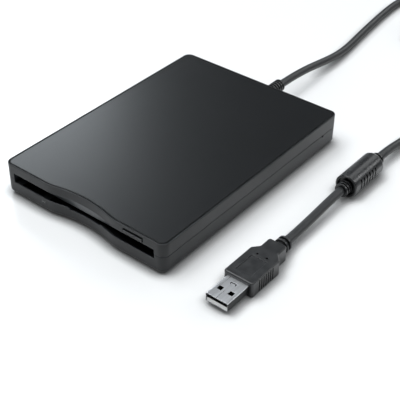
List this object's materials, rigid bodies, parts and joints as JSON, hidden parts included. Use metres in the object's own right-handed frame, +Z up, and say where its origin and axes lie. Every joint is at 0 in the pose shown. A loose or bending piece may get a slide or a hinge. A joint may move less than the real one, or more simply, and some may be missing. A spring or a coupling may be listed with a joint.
{
  "type": "floppy disk drive",
  "caption": "Slim portable floppy disk drive with a wavy fronted flat case, hanging dust door, ribbed eject key, disk loading mechanism and a lead with ferrite bead and flat plug",
  "frame": {"origin": "middle of the case's footprint, on the table that the feet stand on", "axes": "+X right seen from the front, +Y from the disk mouth to the back where the lead leaves, +Z up"},
  "size_m": [0.1419, 0.3401, 0.0178],
  "materials": {
    "case_plastic": "fine grained charcoal moulding with a soft sheen",
    "panel_plastic": "smooth satin charcoal cover plate",
    "door_plastic": "plain charcoal moulding",
    "button_plastic": "dark moulding with fine ribs",
    "foot_rubber": "dull black pads",
    "screw_steel": "blackened steel",
    "clear_plastic": "clear moulded bar",
    "sheet_steel": "plain pressed sheet",
    "spring_steel": "drawn wire and turned pins",
    "board_laminate": "green coated laminate",
    "lamp_resin": "pale lamp resin",
    "bearing_bronze": "sintered bronze",
    "winding_copper": "enamelled copper windings on iron",
    "rotor_steel": "turned and plated steel",
    "magnet_ferrite": "pressed ferrite",
    "carriage_plastic": "glass filled black moulding",
    "head_ceramic": "polished ceramic",
    "chip_resin": "black moulded resin",
    "white_plastic": "white moulding",
    "flex_film": "amber flexible circuit film",
    "cord_vinyl": "soft black vinyl",
    "plug_steel": "bright plated steel",
    "contact_gold": "gold plated contacts"
  },
  "bodies": {
    "housing": {"lower_shell": "case_plastic", "upper_shell": "case_plastic", "top_panel": "panel_plastic", "rubber_feet": "foot_rubber", "case_screws": "screw_steel", "chassis_screws": "screw_steel", "activity_light": "clear_plastic", "chassis": "sheet_steel", "drive_cover": "sheet_steel", "slider_springs": "spring_steel", "motor_board": "board_laminate", "light_source": "lamp_resin", "spindle_bush": "bearing_bronze", "stator": "winding_copper", "guide_rail": "rotor_steel", "stepper_motor": "rotor_steel", "control_board": "board_laminate", "board_chips": "chip_resin", "cord_header": "white_plastic", "head_cable": "flex_film", "write_protect_switch": "chip_resin", "density_switch": "chip_resin", "strain_relief": "cord_vinyl", "usb_cord_out": "cord_vinyl", "cord_coil": "cord_vinyl", "usb_cord_in": "cord_vinyl", "bead_cover": "cord_vinyl", "ferrite_core": "magnet_ferrite", "plug_shell": "plug_steel", "plug_insert": "white_plastic", "plug_contacts": "contact_gold", "plug_grip": "cord_vinyl"},
    "dust_door": {"dust_door": "door_plastic"},
    "eject_slider": {"eject_slider": "sheet_steel", "eject_button": "button_plastic"},
    "disk_tray": {"disk_tray": "sheet_steel", "lever_pivot": "spring_steel"},
    "shutter_lever": {"shutter_lever": "sheet_steel"},
    "spindle": {"spindle_rotor": "rotor_steel", "rotor_magnet": "magnet_ferrite"},
    "head_carriage": {"head_carriage": "carriage_plastic", "lower_head": "head_ceramic", "arm_pin": "spring_steel"},
    "upper_arm": {"upper_arm": "carriage_plastic", "upper_head": "head_ceramic"},
    "lead_screw": {"lead_screw": "rotor_steel"},
    "write_protect_plunger": {"write_protect_plunger": "white_plastic"},
    "density_plunger": {"density_plunger": "white_plastic"}
  },
  "joints": [
    {"name": "door_hinge", "type": "hinge", "parent": "housing", "child": "dust_door", "pos_m": [0, -0.06675, 0.01335], "axis": [1, 0, 0], "range_deg": [0, 85], "stiffness_Nm_per_rad": 0.0003, "springref_deg": -17.19},
    {"name": "eject_slide", "type": "slide", "parent": "housing", "child": "eject_slider", "axis": [0, -1, 0], "range_m": [0, 0.0045], "deforming": ["slider_springs"]},
    {"name": "tray_drop", "type": "slide", "parent": "housing", "child": "disk_tray", "axis": [0, 0, -1], "range_m": [0, 0.0025]},
    {"name": "lever_hinge", "type": "hinge", "parent": "disk_tray", "child": "shutter_lever", "pos_m": [-0.04, 0.044, 0.0135], "axis": [0, 0, 1], "range_deg": [0, 42], "stiffness_Nm_per_rad": 0.001, "springref_deg": -17.19},
    {"name": "spindle_hinge", "type": "hinge", "parent": "housing", "child": "spindle", "pos_m": [0, -0.012, 0.006], "axis": [0, 0, 1], "continuous": true},
    {"name": "head_seek", "type": "slide", "parent": "housing", "child": "head_carriage", "axis": [0, -1, 0], "range_m": [0, 0.0148], "deforming": ["head_cable"]},
    {"name": "screw_hinge", "type": "hinge", "parent": "housing", "child": "lead_screw", "pos_m": [0.022, 0.045, 0.0084], "axis": [0, 1, 0], "range_deg": [0, 1440]},
    {"name": "arm_hinge", "type": "hinge", "parent": "head_carriage", "child": "upper_arm", "pos_m": [0, 0.053, 0.0112], "axis": [1, 0, 0], "range_deg": [0, 9.2]},
    {"name": "write_protect_slide", "type": "slide", "parent": "housing", "child": "write_protect_plunger", "axis": [0, 0, -1], "range_m": [0, 0.0008], "stiffness_N_per_m": 60, "springref_m": -0.0008},
    {"name": "density_slide", "type": "slide", "parent": "housing", "child": "density_plunger", "axis": [0, 0, -1], "range_m": [0, 0.0008], "stiffness_N_per_m": 60, "springref_m": -0.0008}
  ],
  "couplings": [
    {"joint": "tray_drop", "follows": "eject_slide", "ratio": 0.5555},
    {"joint": "arm_hinge", "follows": "eject_slide", "rad_per_m": 35.5},
    {"joint": "screw_hinge", "follows": "head_seek", "rad_per_m": 1675.5}
  ]
}
